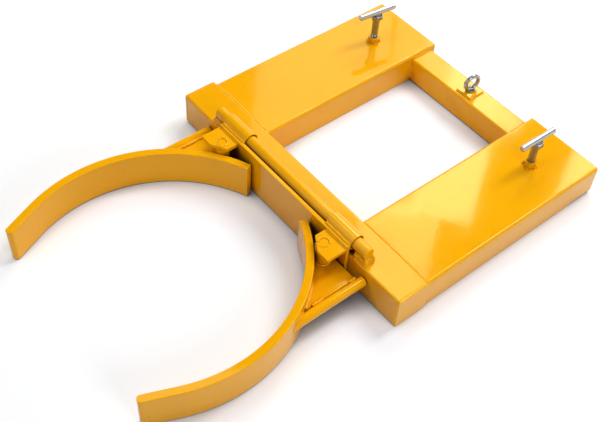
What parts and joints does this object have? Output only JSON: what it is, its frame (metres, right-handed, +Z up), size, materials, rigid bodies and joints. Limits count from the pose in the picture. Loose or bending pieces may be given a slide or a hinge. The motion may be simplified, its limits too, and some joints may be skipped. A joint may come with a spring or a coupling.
{
  "type": "fork-mounted drum lifter",
  "caption": "Yellow fork-mounted drum lifter with curved gripping arms on a tilting carrier, fork pockets, clamp screws and a lifting eye",
  "frame": {"origin": "middle of the front crossbar's underside, on the floor", "axes": "+X to the right-hand fork pocket seen from behind the arms, +Y from the arms towards the pocket mouths, +Z up"},
  "size_m": [0.666, 1.0319, 0.1565],
  "materials": {
    "paint": "glossy yellow-orange enamel over welded steel",
    "zinc": "bright zinc plate"
  },
  "bodies": {
    "frame": {"front_crossbar": "paint", "left_crossbar_cap": "paint", "right_crossbar_cap": "paint", "left_fork_pocket": "paint", "right_fork_pocket": "paint", "left_pocket_strap": "paint", "right_pocket_strap": "paint", "rear_crossbar": "paint", "hinge_rod": "paint", "left_rod_seat": "paint", "right_rod_seat": "paint", "left_clamp_nut": "paint", "right_clamp_nut": "paint", "eye_pad": "paint", "eye_bolt": "zinc"},
    "carrier": {"carrier_plate": "paint", "left_hinge_sleeve": "paint", "right_hinge_sleeve": "paint", "left_upper_ear": "paint", "right_upper_ear": "paint", "left_lower_ear": "paint", "right_lower_ear": "paint", "left_pivot_pin": "paint", "right_pivot_pin": "paint"},
    "left_arm": {"left_arm_band": "paint", "left_arm_lever": "paint", "left_pivot_bush": "paint", "left_push_bar": "paint"},
    "right_arm": {"right_arm_band": "paint", "right_arm_lever": "paint", "right_pivot_bush": "paint", "right_push_bar": "paint"},
    "left_screw": {"left_clamp_bolt": "zinc", "left_tee_bar": "zinc"},
    "right_screw": {"right_clamp_bolt": "zinc", "right_tee_bar": "zinc"}
  },
  "joints": [
    {"name": "carrier_tilt", "type": "hinge", "parent": "frame", "child": "carrier", "pos_m": [0, -0.02105, 0.0985], "axis": [-1, 0, 0], "range_deg": [0, 11.1]},
    {"name": "left_arm_swing", "type": "hinge", "parent": "carrier", "child": "left_arm", "pos_m": [-0.158, -0.0691, 0.046], "axis": [0, 0, -1], "range_deg": [0, 5.8]},
    {"name": "right_arm_swing", "type": "hinge", "parent": "carrier", "child": "right_arm", "pos_m": [0.158, -0.0691, 0.046], "axis": [0, 0, 1], "range_deg": [0, 5.8]},
    {"name": "left_screw_travel", "type": "slide", "parent": "frame", "child": "left_screw", "axis": [0, 0, 1], "range_m": [-0.045, 0.005]},
    {"name": "right_screw_travel", "type": "slide", "parent": "frame", "child": "right_screw", "axis": [0, 0, 1], "range_m": [-0.037, 0.013]}
  ],
  "couplings": [
    {"joint": "left_arm_swing", "follows": "carrier_tilt", "ratio": 0.52},
    {"joint": "right_arm_swing", "follows": "carrier_tilt", "ratio": 0.52}
  ]
}
